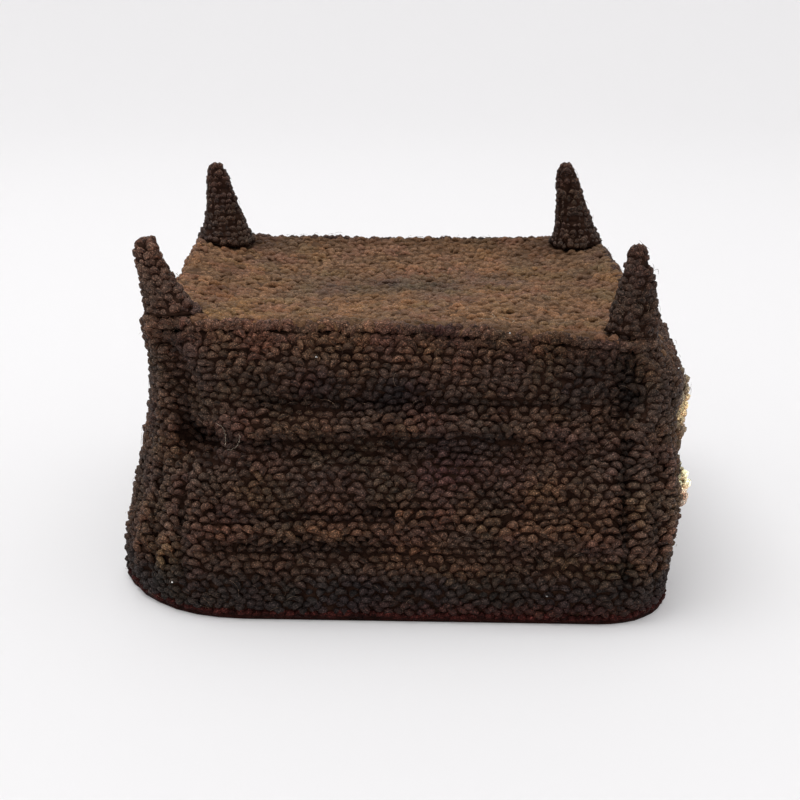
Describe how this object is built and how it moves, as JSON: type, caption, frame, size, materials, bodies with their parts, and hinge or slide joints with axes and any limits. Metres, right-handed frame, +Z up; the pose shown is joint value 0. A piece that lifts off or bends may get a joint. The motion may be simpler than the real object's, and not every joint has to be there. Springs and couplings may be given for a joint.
{
  "type": "four-cornered knotted cap",
  "caption": "Square, boxy cap of knotted dark brown wool, with a dished crown and a small pointed peak on each corner, open below.",
  "frame": {"origin": "middle of the cap's footprint box, on the surface that its rim rests on", "axes": "+Z up through the crown, -Y out of the front side, +X to the right of someone looking at the front"},
  "size_m": [0.1494, 0.143, 0.099],
  "materials": {
    "wall_wool": "dark brown knotted wool, with olive, red and blue-black yarns among the browns",
    "crown_wool": "lighter brown knotted wool, with a grey stain in the middle",
    "binding_wool": "dark red knotted edging",
    "peak_wool": "dark brown knotted wool, reddish at the tips"
  },
  "bodies": {
    "root": {"side_wall": "wall_wool", "crown_panel": "crown_wool", "edge_binding": "binding_wool", "peak_front_left": "peak_wool", "peak_front_right": "peak_wool", "peak_back_right": "peak_wool", "peak_back_left": "peak_wool"}
  },
  "joints": []
}
